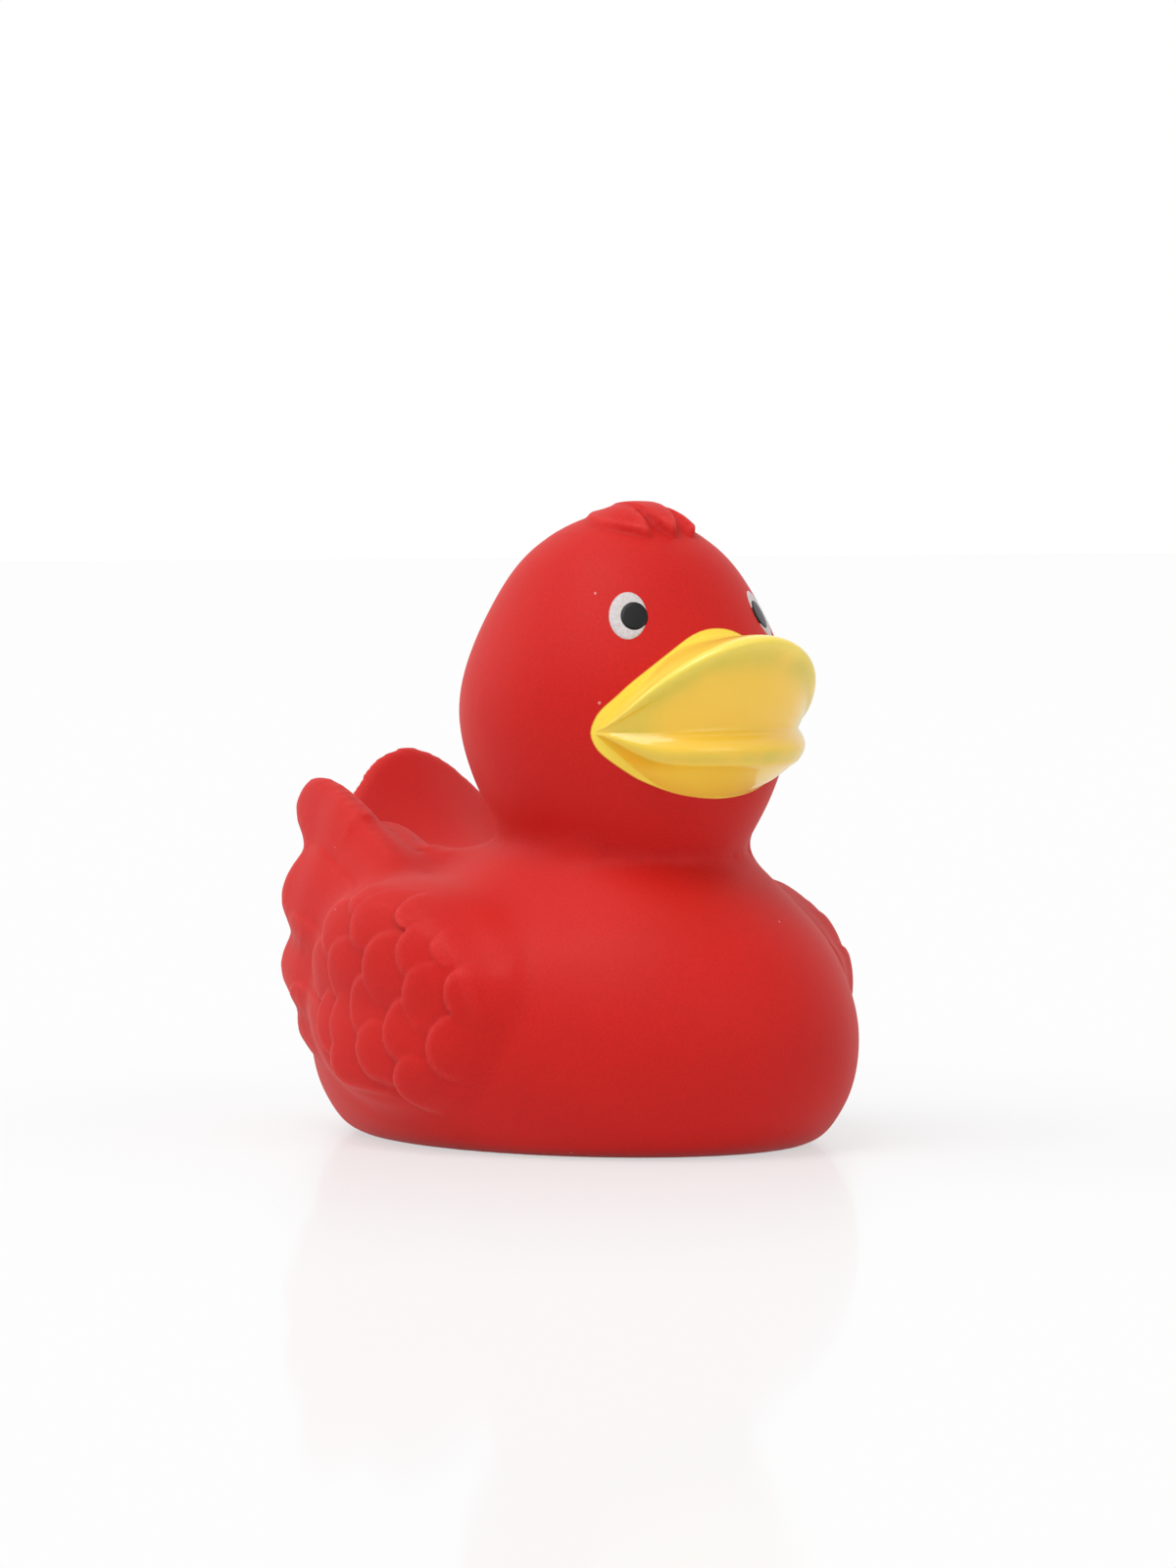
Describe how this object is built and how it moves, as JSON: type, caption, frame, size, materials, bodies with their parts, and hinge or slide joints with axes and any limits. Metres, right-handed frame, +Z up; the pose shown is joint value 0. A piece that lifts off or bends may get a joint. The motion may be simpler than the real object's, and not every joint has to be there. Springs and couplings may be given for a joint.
{
  "type": "rubber duck",
  "caption": "Hollow squeaky bath duck of soft rubber with a wide open bill, a petal crest, scaly feathered wings, an upswept fan tail and a plastic squeaker pressed into its flat base",
  "frame": {"origin": "middle of the flat base, on the surface that the duck stands on", "axes": "+X forward towards the bill, +Y to the duck's left, +Z up"},
  "size_m": [0.0768, 0.0656, 0.0773],
  "materials": {
    "red_rubber": "matte",
    "bill_paint": "gloss",
    "eye_white": "satin",
    "eye_black": "gloss",
    "white_plastic": "satin"
  },
  "bodies": {
    "root": {"duck_body": "red_rubber", "squeaker": "white_plastic"}
  },
  "joints": []
}
